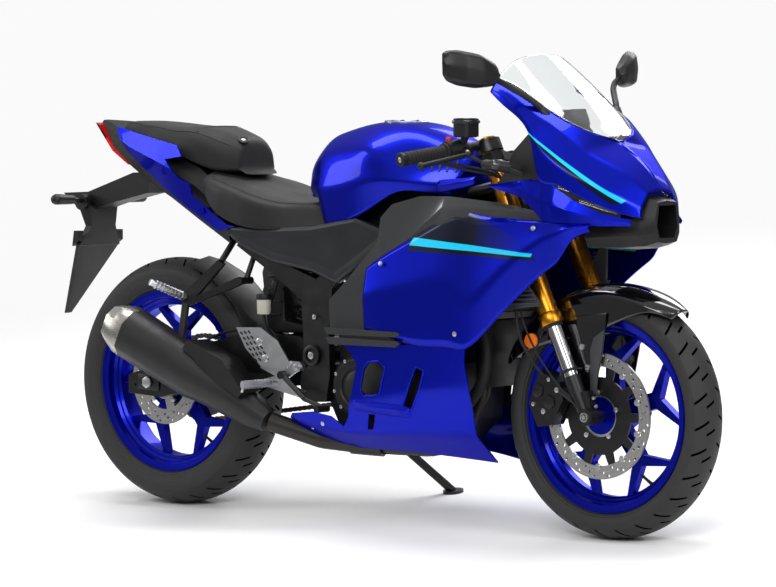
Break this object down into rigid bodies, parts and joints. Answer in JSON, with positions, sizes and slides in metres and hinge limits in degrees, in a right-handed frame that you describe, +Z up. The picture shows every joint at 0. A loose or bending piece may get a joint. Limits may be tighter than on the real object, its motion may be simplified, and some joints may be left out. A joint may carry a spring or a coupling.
{
  "type": "sport motorcycle",
  "caption": "Fully faired two-seat sport motorcycle leaning on its side stand, with rolling wheels, turning fork, folding stand and hinged filler cap.",
  "frame": {"origin": "middle of the leaned machine's footprint box, on the floor", "axes": "+X towards the front wheel, +Y to the rider's left, +Z up; the machine leans 9 degrees to the left"},
  "size_m": [2.0838, 0.7524, 1.1908],
  "materials": {
    "tyre": "black tread rubber with a round crown",
    "blue_alloy": "gloss royal blue on cast alloy",
    "disc_steel": "ground brake steel",
    "black_alloy": "satin black on cast alloy",
    "chain_steel": "oiled steel",
    "gold_alloy": "gold anodised tube",
    "chrome": "hard chromed tube",
    "grip_rubber": "moulded black rubber",
    "black_plastic": "fine grained black plastic",
    "grey_plastic": "satin dark grey plastic",
    "blue_paint": "gloss royal blue with plain stripes",
    "frame_paint": "satin black on steel",
    "engine_alloy": "dark coated castings",
    "exhaust_steel": "brushed stainless steel",
    "silencer_black": "matt black heat resistant paint",
    "shock_steel": "coated steel",
    "bare_alloy": "satin aluminium",
    "seat_cover": "grained black seat cover",
    "lamp_red": "clear red lens",
    "lamp_clear": "clear lamp lens",
    "clear_screen": "clear formed screen"
  },
  "bodies": {
    "root": {"main_frame": "frame_paint", "subframe": "frame_paint", "engine": "engine_alloy", "radiator": "black_alloy", "exhaust_pipe": "exhaust_steel", "silencer": "silencer_black", "silencer_cap": "exhaust_steel", "silencer_heat_shield": "black_plastic", "swingarm": "black_alloy", "rear_axle": "chain_steel", "rear_caliper": "black_alloy", "shock_absorber": "shock_steel", "drive_chain": "chain_steel", "front_sprocket_cover": "black_plastic", "chain_guard": "black_plastic", "tail_inner": "black_plastic", "pillion_seat": "seat_cover", "tail_panels": "blue_paint", "rider_seat": "seat_cover", "tail_lamp": "lamp_red", "plate_bracket": "black_plastic", "rear_indicators": "lamp_clear", "fuel_tank": "blue_paint", "windscreen": "clear_screen", "side_panels": "blue_paint", "nose_side_panels": "blue_paint", "lower_cowls": "blue_paint", "side_trims": "grey_plastic", "nose_duct": "black_plastic", "headlamps": "lamp_clear", "fairing_stay": "frame_paint", "instrument_panel": "black_plastic", "inner_cowls": "black_plastic", "mirrors": "black_plastic", "front_indicators": "lamp_clear", "upper_cowl": "blue_paint", "frame_covers": "grey_plastic", "rider_footrests": "bare_alloy", "pillion_footrests": "black_alloy", "foot_pedals": "black_alloy", "rear_mudguard": "black_plastic"},
    "steering": {"fork_outer_tubes": "gold_alloy", "fork_sliders": "chrome", "fork_feet_and_axle": "black_alloy", "fork_clamps": "black_alloy", "handlebars": "black_alloy", "grips": "grip_rubber", "bar_controls": "black_plastic", "front_fender": "blue_paint", "front_caliper": "black_alloy"},
    "front_wheel": {"front_tyre": "tyre", "front_rim": "blue_alloy", "front_brake_disc": "disc_steel", "front_disc_carrier": "black_alloy"},
    "rear_wheel": {"rear_tyre": "tyre", "rear_rim": "blue_alloy", "rear_brake_disc": "disc_steel", "rear_sprocket": "chain_steel"},
    "side_stand": {"side_stand": "frame_paint"},
    "fuel_cap": {"filler_cap": "bare_alloy"}
  },
  "joints": [
    {"name": "steering_turn", "type": "hinge", "parent": "root", "child": "steering", "pos_m": [0.56422, -0.06905, 0.59376], "axis": [-0.4226, 0.1418, 0.8951], "range_deg": [-32, 32]},
    {"name": "front_wheel_spin", "type": "hinge", "parent": "steering", "child": "front_wheel", "pos_m": [0.749, -0.11708, 0.29054], "axis": [0, 0.9877, -0.1564], "continuous": true},
    {"name": "rear_wheel_spin", "type": "hinge", "parent": "root", "child": "rear_wheel", "pos_m": [-0.631, -0.11379, 0.31128], "axis": [0, 0.9877, -0.1564], "continuous": true},
    {"name": "side_stand_fold", "type": "hinge", "parent": "root", "child": "side_stand", "pos_m": [-0.056, -0.0143, 0.18517], "axis": [0.2877, 0.7009, 0.6527], "range_deg": [0, 102.2]},
    {"name": "fuel_cap_open", "type": "hinge", "parent": "root", "child": "fuel_cap", "pos_m": [0.151, -0.00986, 0.96748], "axis": [0, 0.9877, -0.1564], "range_deg": [0, 100]}
  ]
}
